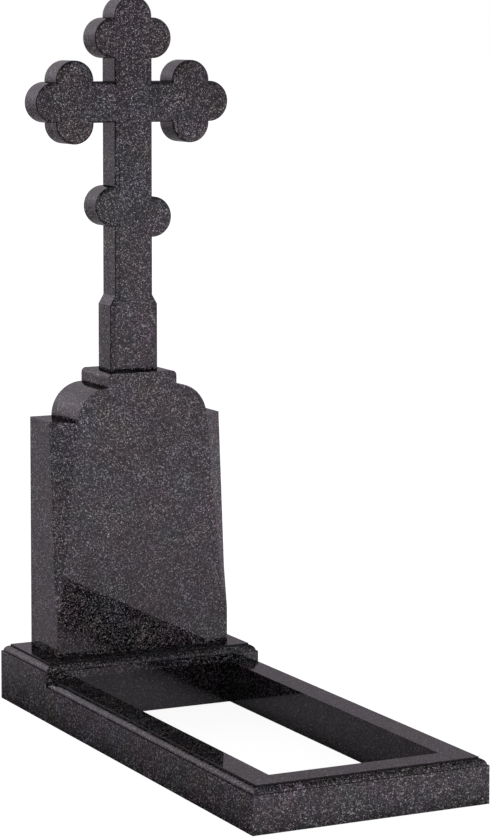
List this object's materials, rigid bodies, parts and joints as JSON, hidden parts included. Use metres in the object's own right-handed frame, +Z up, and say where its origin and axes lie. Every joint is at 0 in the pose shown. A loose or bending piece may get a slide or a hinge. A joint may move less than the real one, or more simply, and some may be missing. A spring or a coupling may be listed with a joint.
{
  "type": "headstone",
  "caption": "Polished dark granite grave memorial: a trefoil-ended cross with a slanted lower bar on a shouldered stele, set on a moulded plinth at the head of an open kerb",
  "frame": {"origin": "on the ground, in the middle of the footprint of kerb and plinth together", "axes": "+Z is up, -Y is the front that the cross faces, and +X is to the right of someone who looks at that front"},
  "size_m": [0.6, 1.47, 1.8321],
  "materials": {
    "cross_granite": "polished dark speckled granite",
    "stele_granite": "polished dark speckled granite",
    "plinth_granite": "polished dark speckled granite",
    "kerb_left_granite": "polished dark speckled granite",
    "kerb_right_granite": "polished dark speckled granite",
    "kerb_front_granite": "polished dark speckled granite"
  },
  "bodies": {
    "root": {"cross": "cross_granite", "stele": "stele_granite", "plinth": "plinth_granite", "kerb_left": "kerb_left_granite", "kerb_right": "kerb_right_granite", "kerb_front": "kerb_front_granite"}
  },
  "joints": []
}
